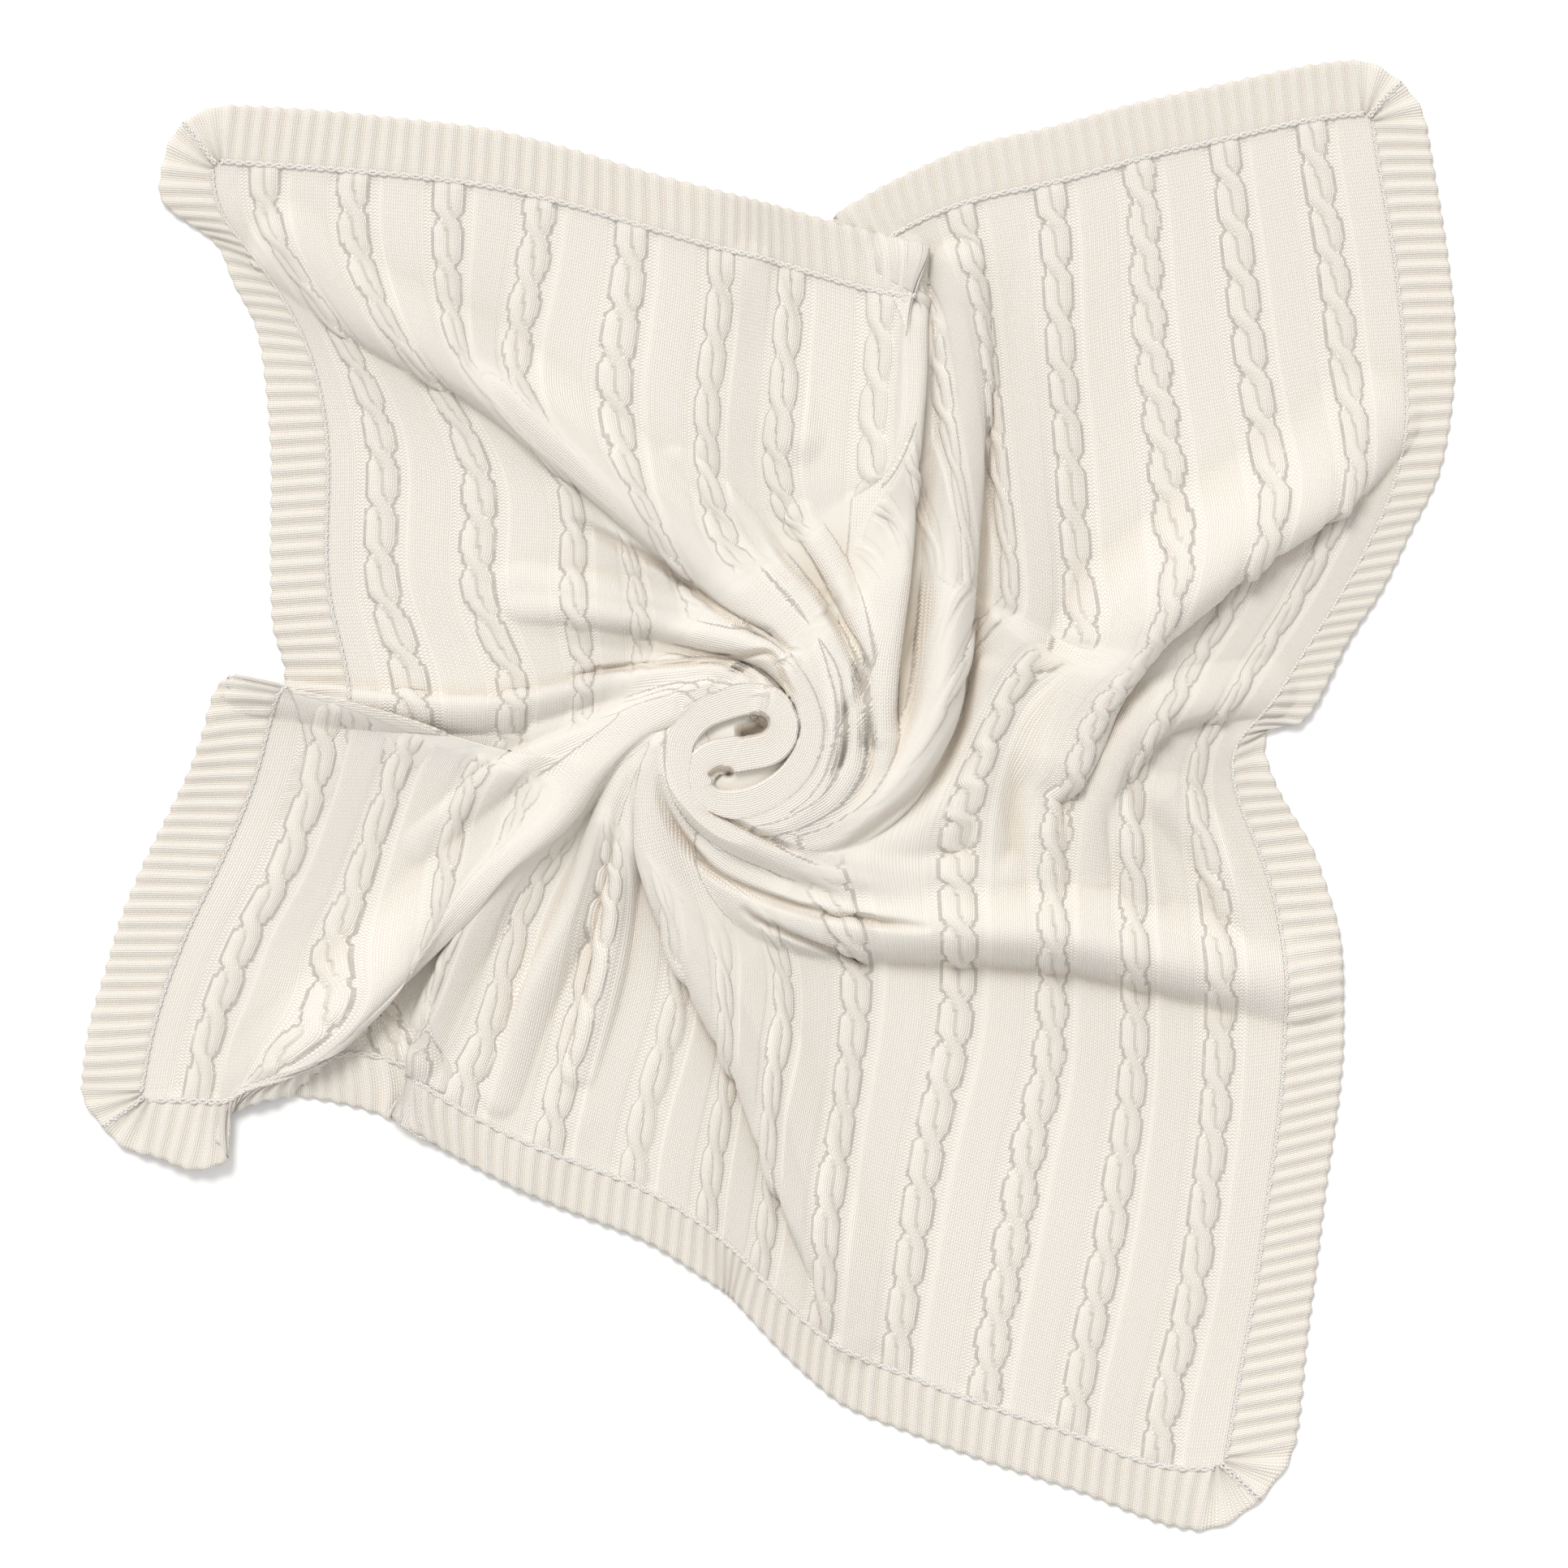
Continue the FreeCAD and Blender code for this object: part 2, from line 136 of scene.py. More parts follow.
# ---- folds: crest lines on the laid blanket, from the outside in -----------------------------------
# points, heights spread evenly along the line, (width, fullness) to the left of the line and to its
# right, and how far the crest leans to its left.  Fullness 0.5 is a round roll, 2 a soft slope.
FOLDS = [
    # the S-shaped roll at the heart of the twist: it comes in from the right under the swirl and
    # leaves to the left over it
    ([(155, -58), (100, -62), (65, -58), (30, -50), (0, -38), (-28, -25), (-48, -5), (-56, 14),
      (-55, 32), (-45, 46), (-28, 54), (-10, 57), (4, 50), (8, 38), (0, 27), (-18, 23), (-35, 20),
      (-44, 11), (-45, 0), (-34, -9), (-12, -8), (10, 4), (23, 22), (26, 42), (19, 64), (5, 80),
      (-12, 89), (-40, 96), (-75, 104), (-115, 110), (-155, 114)], (4, 13, 22, 30, 33, 32, 33, 31, 26, 17, 5),
      (11, 0.7), (11, 0.7), 0),
    ([(140, -55), (85, -52), (45, -44), (12, -32)], (8, 14, 18, 20), (24, 1.3), (20, 1.0), 0),
    ([(-150, 126), (-105, 118), (-60, 112), (-25, 102)], (4, 10, 15, 17), (16, 1.2), (30, 1.6), 0),
    # top-left lobe: the long diagonal roll, and the two that follow it round the swirl
    ([(-300, 332), (-250, 294), (-175, 254), (-125, 215), (-85, 182), (-50, 152), (-18, 124),
      (10, 98), (28, 70), (37, 42), (34, 15), (20, -4), (-2, -16), (-22, -18)], (9, 14, 18, 22, 24, 20),
      (34, 2.0), (19, 0.9), -4),
    ([(15, 122), (31, 92), (40, 68), (42, 40), (38, 15), (25, -5), (2, -18)], (10, 22, 24, 20), (9, 0.8),
      (9, 0.8), 0),
    ([(-55, 202), (-25, 175), (2, 142), (26, 112), (44, 80), (52, 55), (53, 30), (49, 10), (35, -8),
      (12, -20), (-8, -24)], (3, 10, 18, 24, 24, 20), (9, 0.7), (18, 1.2), 0),
    # the top-left lobe's free edge
    ([(88, 322), (86, 252), (80, 188), (76, 138), (70, 92), (68, 58), (68, 28), (59, 2), (40, -15),
      (12, -26)], (7, 12, 16, 20, 22, 18), (9, 0.5), (34, 1.8), 4),
    ([(18, 168), (40, 132), (58, 92), (64, 62), (65, 32)], (4, 14, 19, 20), (12, 1.2), (8, 0.6), 0),
    # the ridge beside it, and the wave across the groove
    ([(114, 322), (117, 238), (111, 162), (106, 98), (99, 52), (84, 18), (64, -8), (40, -24),
      (20, -32)], (10, 14, 20, 26, 30, 26, 20), (18, 0.8), (17, 0.8), 3),
    ([(170, 322), (162, 238), (156, 138), (145, 62), (125, 8), (95, -22), (55, -40)], (1, 4, 8, 12, 14),
      (34, 2.0), (20, 1.0), 0),
    # top-right lobe: the diagonal roll and the one below it
    ([(375, 218), (350, 192), (300, 160), (265, 135), (225, 100), (198, 62), (182, 22)], (9, 19, 24, 24, 18),
      (17, 0.7), (50, 2.0), 8),
    ([(305, 62), (265, 58), (235, 48), (211, 22), (198, -12), (195, -52)], (6, 14, 15, 10, 2), (17, 1.0),
      (20, 1.2), 4),
    # upright folds right of the swirl
    ([(132, -68), (131, -12), (132, 38), (136, 72)], (7, 12, 9), (14, 1.0), (15, 1.0), 0),
    ([(170, -72), (166, -22), (163, 22)], (4, 10, 8), (16, 1.2), (14, 1.2), 0),
    ([(235, -78), (218, -32), (201, 8)], (4, 10, 8), (16, 1.5), (15, 1.5), 0),
    ([(305, -102), (275, -42), (245, -5)], (6, 10, 7), (18, 1.8), (18, 1.8), 0),
    # the long roll under the swirl
    ([(325, -120), (275, -108), (225, -96), (175, -86), (115, -82), (65, -80), (25, -76), (-10, -62),
      (-40, -44)], (9, 21, 25, 25, 20, 10), (26, 1.4), (34, 1.9), 4),
    # bottom-right lobe's free edge
    ([(48, -332), (30, -278), (8, -222), (-9, -172), (-35, -120), (-54, -78), (-68, -42), (-74, -12),
      (-72, 10), (-66, 25)], (5, 14, 18, 22, 24, 22), (13, 0.6), (34, 1.8), 6),
    # bottom-left lobe's free edge
    ([(-310, -185), (-275, -152), (-235, -112), (-180, -58), (-135, -18), (-108, 14), (-82, 38),
      (-55, 52)], (8, 14, 18, 22, 22), (38, 2.0), (11, 0.6), -5),
    ([(-215, -32), (-165, 8), (-125, 30), (-95, 44), (-65, 56), (-40, 62)], (3, 10, 16, 20), (12, 0.9),
      (16, 1.2), 0),
    # its upper edge, over the strip from the left
    ([(-322, 64), (-275, 56), (-225, 52), (-175, 50), (-135, 56), (-95, 66), (-60, 72), (-30, 73),
      (-10, 64), (1, 52)], (7, 10, 14, 18, 20), (9, 0.6), (15, 1.0), 3),
    ([(-145, 35), (-105, 46), (-75, 56), (-50, 62), (-22, 60)], (6, 14, 19, 20), (8, 0.7), (9, 0.9), 0),
    # narrow folds that fan out below the swirl
    ([(-220, -162), (-208, -130), (-189, -95), (-155, -42), (-125, -5), (-100, 18), (-75, 35)],
      (6, 12, 16, 18), (9, 0.6), (17, 1.2), 3),
    ([(-168, -188), (-148, -132), (-122, -78), (-104, -28), (-88, 8), (-72, 25)], (4, 12, 17, 18), (11, 0.8),
      (14, 1.0), 2),
    ([(-118, -172), (-102, -118), (-94, -68), (-86, -18), (-78, 12)], (4, 12, 16, 18), (10, 0.8),
      (12, 1.0), 0),
    # shallow waves
    ([(-12, 322), (0, 288), (8, 252), (18, 218)], (5, 5), (16, 1.6), (22, 1.8), 0),
    ([(-195, -332), (-165, -262), (-130, -202)], (2, 2), (30, 2.0), (30, 2.0), 0),
]

# Creases pulled down into the cloth: points, depth and half-width.
CREASES = [
    ([(-66, 10), (-64, -5), (-58, -20), (-48, -35), (-35, -48), (-20, -56), (0, -63), (25, -70),
      (50, -74), (100, -80)], 10, 2.6),
    ([(137, 268), (136, 238), (131, 138), (125, 88), (118, 48), (105, 22), (90, 4), (75, -10),
      (55, -26), (35, -36), (16, -37)], 5, 3.0),
    ([(-125, 168), (-95, 152), (-65, 138), (-40, 118), (-25, 108), (0, 96), (18, 82)], 9, 3.0),
    ([(-125, 70), (-100, 74), (-75, 76), (-50, 78), (-35, 79), (-22, 75), (-10, 68), (-2, 58)], 9, 2.4),
    ([(-50, 82), (-22, 82), (-2, 84), (5, 76), (10, 65), (18, 55)], 6, 2.2),
    ([(-5, 162), (12, 138), (30, 118), (42, 98), (52, 76), (56, 52), (59, 22), (56, 8), (48, -5)], 5, 2.4),
    ([(46, 58), (46, 38), (44, 20), (39, 9)], 4, 2.4),
    ([(-18, -68), (-8, -76), (10, -84), (25, -90), (45, -100), (65, -110)], 8, 2.6),
    ([(-48, -9), (-35, -14), (-22, -20), (-10, -26), (18, -38)], 6, 2.0),
    ([(-12, 48), (-5, 42), (-12, 36), (-22, 34)], 16, 4.5),
    ([(-22, 12), (-32, 14), (-40, 8)], 14, 3.5),
    ([(92, 138), (92, 108), (85, 82), (79, 58), (73, 32)], 4, 3.0),
]
HEART = (62.0, 25.0)         # spread and height of the gathered cloth under the swirl
SHOULDER = (130.0, 6.0)      # and of the wider, lower rise round it
TWIST_SPREAD = 130.0         # how far from the heart the twist dies away
LOWERED = (0.36, 100.0)      # share of their height that folds lose at the heart, and its spread
LEAN_KEPT = 0.4              # share of a fold's lean that is left near the heart
LEAN_NEAR = 60.0             # up to this far from it, with the whole lean from twice as far
LEAN_RISE = 12.0             # rise at which a fold leans fully
LEAST_HEIGHT = 1.2           # of the middle of the cloth, over the floor
SETTLING = 1.5               # how sharply the cloth flattens where it meets the floor

# ---- how the knitting closes up round the heart ----------------------------------------------------
CLOSED_KNIT = 0.27           # share of its knitted size at which cloth shows no cables
OPEN_KNIT = 0.52             # and at which they stand at their full height
ROLLED_KNIT = 0.32           # share below which the stitches of a fold run along the fold
ROLLED_NEAR = 78.0           # and so they do within this distance of the heart
STITCH_FADE = 12.0           # distance over which the stitches fade where they change direction
FILLED_FROM = (48.0, 10.0)   # slots are filled from here outward, more and more over this distance
FILLED_TO = (130.0, 20.0)    # and up to here, less and less over this distance
SLOT_DEPTH = 3.0             # depth that is left of a slot
VALLEY_DEPTH = 7.0           # depth at which a valley is fully shaded
SQUEEZED_SHADED_TONE = (0.70, 0.668, 0.615)     # yarn colour with painted shade, for cloth too squeezed to show its stitches
SQUEEZED_SHADE = (0.56, 0.46, 0.345)     # and its deeper painted shade in creases


def smooth_line(points, per_span=6):
    """Points along a smooth curve through given ones."""
    p = np.asarray(points, float)
    p = np.vstack([2 * p[0] - p[1], p, 2 * p[-1] - p[-2]])
    out = []
    for i in range(1, len(p) - 2):
        t = np.arange(per_span)[:, None] / per_span
        a, b, c, d = p[i - 1:i + 3]
        out.append(0.5 * (2 * b + (c - a) * t + (2 * a - 5 * b + 4 * c - d) * t**2
                          + (3 * b - a - 3 * c + d) * t**3))
    out.append(p[-2:-1])
    return np.vstack(out)


def beside(line, places, reach):
    """For each place within reach of a line: its index, share along the line, distance to the left
    of it, the line's leftward direction there, and how squarely it lies to the left, 1, or the
    right, -1, which only differs from those beyond the line's ends."""
    low, high = line.min(0) - reach, line.max(0) + reach
    near = np.flatnonzero(((places > low) & (places < high)).all(1))
    q = places[near]
    best = np.full(len(q), 1e12)
    share, aside, square = np.zeros(len(q)), np.zeros(len(q)), np.zeros(len(q))
    left_way = np.zeros((len(q), 2))
    lengths = np.r_[0, np.cumsum(np.hypot(*np.diff(line, axis=0).T))]
    for i in range(len(line) - 1):
        run = line[i + 1] - line[i]
        size = np.hypot(*run)
        t = np.clip(((q - line[i]) @ run) / size**2, 0, 1)
        off = q - line[i] - t[:, None] * run
        far = (off**2).sum(1)
        better = far < best
        left = np.array((-run[1], run[0])) / size
        best[better] = far[better]
        share[better] = (lengths[i] + t[better] * size) / lengths[-1]
        aside[better] = np.sqrt(far[better]) * np.sign(off[better] @ left)
        square[better] = (off[better] @ left) / (np.sqrt(far[better]) + 1e-9)
        left_way[better] = left
    keep = best < reach**2
    return near[keep], share[keep], aside[keep], left_way[keep], square[keep]


def spin(flat, turn):
    """Twists the flat cloth clockwise about its heart."""
    off = flat - np.array(SWIRL_FLAT)
    angle = -turn * np.exp(-(off**2).sum(-1) / TWIST_SPREAD**2)
    c, s = np.cos(angle), np.sin(angle)
    return np.stack([off[:, 0] * c - off[:, 1] * s, off[:, 0] * s + off[:, 1] * c], -1)


def kernel(squared):
    return 0.5 * squared * np.log(squared + 1e-9)


class Laying:
    """The smooth map from flat places to laid ones that passes through the guides."""

    scale = 500.0

    def __init__(self, half, turn):
        guides = [((a, half[1]), laid) for a, *laid in TOP_EDGE]
        guides += [((half[0], b), laid) for b, *laid in RIGHT_EDGE]
        guides += [((a, -half[1]), laid) for a, *laid in BOTTOM_EDGE]
        guides += [((-half[0], b), laid) for b, *laid in LEFT_EDGE]
        guides += [((a, b), laid) for a, b, *laid in INNER]
        guides.append((SWIRL_FLAT, (*SWIRL_LAID, SWIRL_HEIGHT)))
        self.turn = turn
        flat = np.array([g[0] for g in guides], float)
        laid = np.array([g[1] for g in guides], float)
        self.knots = spin(flat, turn) / self.scale
        n = len(flat)
        gaps = ((self.knots[:, None] - self.knots[None])**2).sum(-1)
        base = np.c_[np.ones(n), self.knots]
        system = np.block([[kernel(gaps) + 1e-6 * np.eye(n), base], [base.T, np.zeros((3, 3))]])
        self.weights = np.linalg.solve(system, np.vstack([laid, np.zeros((3, 3))]))

    def sheet(self, flat):
        """Laid places before the folds are raised."""
        spun = spin(flat, self.turn) / self.scale
        out = np.empty((len(flat), 3))
        for i in range(0, len(flat), 20000):
            s = spun[i:i + 20000]
            gaps = ((s[:, None] - self.knots[None])**2).sum(-1)
            out[i:i + 20000] = np.hstack([kernel(gaps), np.ones((len(s), 1)), s]) @ self.weights
        return out

    def __call__(self, flat):
        return raise_folds(self.sheet(flat))[0]


def raise_folds(laid):
    """Lifts, leans and creases the laid cloth along FOLDS and CREASES.  Also gives, for each place,
    its distance across and along the fold that carries it, and how deep in a crease it is."""
    xy = laid[:, :2].copy()
    power = 5.0
    total = np.zeros(len(xy))
    strongest = np.zeros(len(xy))
    fold_way = np.zeros((len(xy), 2))
    lean_by = np.zeros_like(xy)
    for number, (points, heights, (wide_l, full_l), (wide_r, full_r), lean) in enumerate(FOLDS):
        line = smooth_line(points)
        at, share, aside, left, square = beside(line, xy, max(wide_l, wide_r))
        leftness = 0.5 + 0.5 * square
        width = wide_r + (wide_l - wide_r) * leftness
        full = full_r + (full_l - full_r) * leftness
        shape = np.clip(1 - (aside / width)**2, 0, 1)**full
        height = np.interp(share, np.linspace(0, 1, len(heights)), heights)
        part = (height * shape)**power
        total[at] += part
        lean_by[at] += (part * lean * np.minimum(share * 6, 1))[:, None] * left
        ahead = at[part > strongest[at]]
        chosen = part > strongest[at]
        strongest[ahead] = part[chosen]
        length = np.hypot(*np.diff(line, axis=0).T).sum()
        fold_way[ahead] = np.stack([aside[chosen] + 40.0 * number, share[chosen] * length], -1)
    rise = total**(1 / power)
    from_heart = ((xy - np.array(SWIRL_LAID))**2).sum(1)
    rise *= 1 - LOWERED[0] * np.exp(-from_heart / LOWERED[1]**2)
    lean_by /= (total + 1e-6)[:, None]
    out = laid.copy()
    out[:, 2] = np.maximum(out[:, 2], 1.0)
    crease = np.zeros(len(xy))
    for spread, height in (HEART, SHOULDER):
        out[:, 2] += height * np.exp(-from_heart / spread**2)
    for points, depth, half_width in CREASES:
        at, share, aside, _, _ = beside(smooth_line(points), xy, half_width * 3)
        ends = np.clip(np.minimum(share, 1 - share) * 6, 0, 1)
        pull = ends * np.exp(-(aside / half_width)**2)
        rise[at] -= depth * pull
        crease[at] = np.maximum(crease[at], pull)
    out[:, 2] += rise
    near = LEAN_KEPT + (1 - LEAN_KEPT) * np.clip(np.sqrt(from_heart) / LEAN_NEAR - 1, 0, 1)
    out[:, :2] += lean_by * (np.clip(rise / LEAN_RISE, 0, 1) * near)[:, None]
    over = np.clip((out[:, 2] - LEAST_HEIGHT) * SETTLING, -30, 60)
    out[:, 2] = LEAST_HEIGHT + np.log1p(np.exp(over)) / SETTLING
    return out, fold_way, strongest > 1.0, crease


def surface(lay, flat, step=1.0):
    """Laid places and the upward normals of the cloth at flat places."""
    flat = np.asarray(flat, float)
    here = lay(flat)
    normal = np.cross(lay(flat + (step, 0)) - here, lay(flat + (0, step)) - here)
    return here, normal / (np.linalg.norm(normal, axis=1, keepdims=True) + 1e-9)


def uneven_line(half, wide, close, reach=125.0):
    """Places from -half to half, wide apart but close together where the cloth is twisted."""
    fine = np.linspace(-half, half, 4001)
    step = wide + (close - wide) / (1 + np.exp((np.abs(fine) - reach) / 12.0))
    count = np.cumsum(1 / step)
    count = (count - count[0]) / (count[-1] - count[0])
    total = int(np.sum(1 / step) * (fine[1] - fine[0]))
    return np.interp(np.linspace(0, 1, total), count, fine)


def grid_normals(grid):
    normal = np.cross(np.gradient(grid, axis=1), np.gradient(grid, axis=0))
    return normal / (np.linalg.norm(normal, axis=2, keepdims=True) + 1e-9)


def spread_out(field, cells):
    """A grid of values averaged over the neighbours up to a number of cells away, each way."""
    for axis in (0, 1):
        padded = np.pad(field, [(cells + 1, cells) if k == axis else (0, 0) for k in (0, 1)], "edge")
        total = np.cumsum(padded, axis=axis)
        span = 2 * cells + 1
        field = (total[span:] - total[:-span] if axis == 0 else total[:, span:] - total[:, :-span]) / span
    return field


def least_stretch(sheet, across_line, up_line):
    """How far the cloth is squeezed, place by place: 1 is as knitted and 0 is squeezed flat."""
    p = np.gradient(sheet[..., :2], across_line, axis=1)
    q = np.gradient(sheet[..., :2], up_line, axis=0)
    span = (p**2 + q**2).sum(-1)
    area = np.abs(p[..., 0] * q[..., 1] - p[..., 1] * q[..., 0])
    return np.sqrt(np.maximum(span - np.sqrt(np.maximum(span**2 - 4 * area**2, 0)), 0) / 2)


# ---- relief of the knitting ------------------------------------------------------------------------
def panel_relief(a, b, props):
    """Cables, purl channels and stockinette ground of the panel: height over the cloth, how purled
    it is, the stitch coordinates, and the painted shade that darkens its colour in the purl channels
    and where the strands cross."""
    pitch, first = props.cable_pitch / MM, -397.5
    number = np.clip(np.round((a - first) / pitch), 0, props.cable_count - 1)
    x = a - first - number * pitch
    beat = b / (props.crossing_pitch / MM)
    phase = np.pi * beat - 0.3 * np.sin(2 * np.pi * beat)
    radius, sway = 6.0, 3.7
    channel_width, channel_depth = 16.0, 1.3
    rise = props.cable_height / MM
    heights, offsets = [], []
    for turn in (0.0, np.pi):
        off = x - sway * np.cos(phase + turn)
        round_top = np.clip(1 - (off / radius)**2, 0, 1)**0.7
        crown = rise + 1.1 * np.sin(phase + turn)
        heights.append(-channel_depth + (crown + channel_depth) * round_top)
        offsets.append(off)
    front = heights[0] > heights[1]
    strand = np.maximum(*heights)
    ground = 1 / (1 + np.exp((channel_width - np.abs(x)) / 0.5))
    base = -channel_depth * (1 - ground)
    in_strand = strand > base + 0.05
    height = np.maximum(strand, base)
    purl = np.where(in_strand, 0.0, 1 - ground)
    across = np.where(in_strand, np.where(front, offsets[0], offsets[1]), a)
    # painted shade: the colour darkens in the purl channels and where the two strands cross
    crossing = np.clip(1 - np.abs(heights[0] - heights[1]) / 1.6, 0, 1) * in_strand * (
        np.minimum(*heights) > -0.6)
    painted_shade = np.clip(np.maximum(purl * 0.35, crossing), 0, 1)
    return height, purl, across, painted_shade


def rib_relief(along, depth, props):
    """Two-by-two rib: height over the cloth and how deep in a furrow it is.  depth is the distance
    in from the outer edge."""
    wave = np.cos(2 * np.pi * along / (props.rib_pitch / MM))
    rib = np.tanh(1.8 * wave) / np.tanh(1.8)
    ends = np.clip(depth / 3, 0, 1) * np.clip((props.border_width / MM - depth) / 4, 0.15, 1)
    height = props.rib_height / MM * (0.5 + 0.5 * rib) * (0.35 + 0.65 * ends)
    return height, np.clip(0.25 - 0.5 * wave, 0, 1)


# ---- meshes ---------------------------------------------------------------------------------------
def new_object(name, verts, quads, stitch_uv, bake_uv, attributes, material):
    """A smooth mesh object from arrays, verts in millimetres and maps one row a corner."""
    mesh = bpy.data.meshes.new(name)
    mesh.vertices.add(len(verts))
    mesh.vertices.foreach_set("co", (verts * MM).astype("f").ravel())
    mesh.loops.add(quads.size)
    mesh.loops.foreach_set("vertex_index", quads.astype("i").ravel())
    mesh.polygons.add(len(quads))
    mesh.polygons.foreach_set("loop_start", np.arange(0, quads.size, 4, dtype="i"))
    mesh.update(calc_edges=True)
    mesh.polygons.foreach_set("use_smooth", np.ones(len(quads), dtype=bool))
    for label, uv in (("OFBake", bake_uv), ("Stitches", stitch_uv)):
        mesh.uv_layers.new(name=label).data.foreach_set("uv", uv.astype("f").ravel())
    for label, values in attributes.items():
        mesh.attributes.new(label, "FLOAT", "POINT").data.foreach_set("value", values.astype("f"))
    mesh.validate()
    mesh.materials.append(material)
    made = bpy.data.objects.new(name, mesh)
    bpy.context.scene.collection.objects.link(made)
    return made


def grid_quads(rows, columns, offset=0, flip=False):
    index = np.arange(rows * columns).reshape(rows, columns) + offset
    quads = np.stack([index[:-1, :-1], index[:-1, 1:], index[1:, 1:], index[1:, :-1]], -1).reshape(-1, 4)
    return quads[:, ::-1] if flip else quads


def short_split(verts, quads):
    """The same quads, each turned so that its first and third corners are the nearer pair."""
    corner = verts[quads]
    first = ((corner[:, 0] - corner[:, 2])**2).sum(1)
    second = ((corner[:, 1] - corner[:, 3])**2).sum(1)
    return np.where((second < first)[:, None], np.roll(quads, 1, axis=1), quads)


def closed_sheet(name, top, bottom, stitches, attributes, material):
    """A closed sheet from two grids (rows, columns, 3).  Rows run up, columns to the right."""
    rows, columns = top.shape[:2]
    count = rows * columns
    index = np.arange(count).reshape(rows, columns)
    rim = np.concatenate([index[0, :-1], index[:-1, -1], index[-1, :0:-1], index[:0:-1, 0]])
    after = np.roll(rim, -1)
    walls = np.stack([after, rim, rim + count, after + count], -1)
    verts = np.vstack([top.reshape(-1, 3), bottom.reshape(-1, 3)])
    verts[:, 2] = np.maximum(verts[:, 2], 0.2)
    faces = np.vstack([grid_quads(rows, columns), grid_quads(rows, columns, count, True)])
    quads = np.vstack([short_split(verts, faces), walls])
    v, u = np.meshgrid(np.linspace(0, 1, rows), np.linspace(0, 1, columns), indexing="ij")
    # bake map: the upper side on the left, the underside on the right, the walls round the upper side
    margin, size = 0.012, np.array((0.47, 0.976))
    front = np.stack([margin + size[0] * u, margin + size[1] * v], -1).reshape(-1, 2)
    bake = np.vstack([front, front + (0.506, 0)])[quads]
    wall_bake = bake[-len(walls):]
    outward = wall_bake[:, :2] - (margin + size / 2)
    at_rim = np.abs(outward) > size / 2 - 0.001
    wall_bake[:, 2:] = (wall_bake[:, :2] + margin / 2 * np.sign(outward) * at_rim)[:, ::-1]
    both = {key: np.r_[value.ravel(), value.ravel()] for key, value in attributes.items()}
    stitch = np.vstack([stitches.reshape(-1, 2)] * 2)[quads]
    return new_object(name, verts, quads, stitch, bake, both, material)


def yarn_tube(points, radius, sides=6):
    """Vertices, quads and stitch map of a closed-ended tube along points."""
    way = np.gradient(points, axis=0)
    way /= np.linalg.norm(way, axis=1, keepdims=True) + 1e-9
    side = np.cross(way, (0, 0, 1.0))
    side /= np.linalg.norm(side, axis=1, keepdims=True) + 1e-9
    up = np.cross(side, way)
    turns = np.linspace(0, 2 * np.pi, sides, endpoint=False)
    size = np.full(len(points), radius)
    size[[0, -1]] = radius * 0.2
    ring = (np.cos(turns)[None, :, None] * side[:, None] + np.sin(turns)[None, :, None] * up[:, None])
    verts = (points[:, None] + ring * size[:, None, None]).reshape(-1, 3)
    index = np.arange(len(points) * sides).reshape(-1, sides)
    quads = np.stack([index[:-1], np.roll(index[:-1], -1, 1), np.roll(index[1:], -1, 1), index[1:]], -1)
    quads = quads.reshape(-1, 4)[:, ::-1]
    caps = []
    for row, order in ((index[0], 1), (index[-1], -1)):
        for k in range(1, sides - 2, 2):
            caps.append(row[[0, k, k + 1, k + 2]][::order])
    quads = np.vstack([quads, np.array(caps)])
    run = np.r_[0, np.cumsum(np.linalg.norm(np.diff(points, axis=0), axis=1))]
    stitch = np.stack([np.tile(np.arange(sides) * radius, len(points)), np.repeat(run, sides)], -1)
    return verts, quads, stitch


def yarn_object(name, tubes, material):
    """One object from several tubes."""
    verts, quads, stitches, bakes, base = [], [], [], [], 0
    for number, (v, q, s) in enumerate(tubes):
        verts.append(v)
        quads.append(q + base)
        stitches.append(s[q])
        run = s[:, 1] / s[:, 1].max()
        way_round = s[:, 0] / s[:, 0].max()
        bake = np.stack([run * 0.98 + 0.01, (number + 0.1 + 0.7 * way_round) / len(tubes)], -1)
        bakes.append(bake[q])
        base += len(v)
    verts = np.vstack(verts)
    verts[:, 2] = np.maximum(verts[:, 2], 0.3)
    return new_object(name, verts, np.vstack(quads), np.vstack(stitches) * MM, np.vstack(bakes), {}, material)


# ---- the border's path round the flat blanket ------------------------------------------------------
SIDES = {
    # side: the way its edge runs, its outward direction, and the half-length it uses (0 a, 1 b)
    "top": ((1, 0), (0, 1), 0),
    "right": ((0, -1), (1, 0), 1),
    "bottom": ((-1, 0), (0, -1), 0),
    "left": ((0, 1), (-1, 0), 1),
}
CORNERS = {"top_left": "top", "top_right": "right", "bottom_right": "bottom", "bottom_left": "left"}
INNER_RADIUS = 6.0           # of the border's inner path at a corner
SCALLOP = 0.7                # how far the outer edge waves in and out with the ribs
RIB_THINNING = 0.9           # thickness of the cloth under the ribs, as a share of the panel's


def edge_frame(side, along, props):
    """Flat places on the inner path of a side's border and its outward directions.  along runs from
    the corner before the side to the one after it, round half of each corner's arc."""
    way, out, axis = SIDES[side]
    way, out = np.array(way, float), np.array(out, float)
    halves = np.array((props.flat_width, props.flat_length)) / MM / 2
    border = props.border_width / MM
    half_run = halves[axis] - border - INNER_RADIUS
    off = halves[1 - axis] - border - INNER_RADIUS
    arc = (INNER_RADIUS + border / 2) * np.pi / 4
    s = along - arc - half_run
    over = np.clip(np.abs(s) - half_run, 0, arc) * np.sign(s)
    angle = over / (INNER_RADIUS + border / 2)
    outward = np.cos(angle)[:, None] * out + np.sin(angle)[:, None] * way
    centre = np.clip(s, -half_run, half_run)[:, None] * way + off * out
    return centre + INNER_RADIUS * outward, outward, 2 * (half_run + arc)


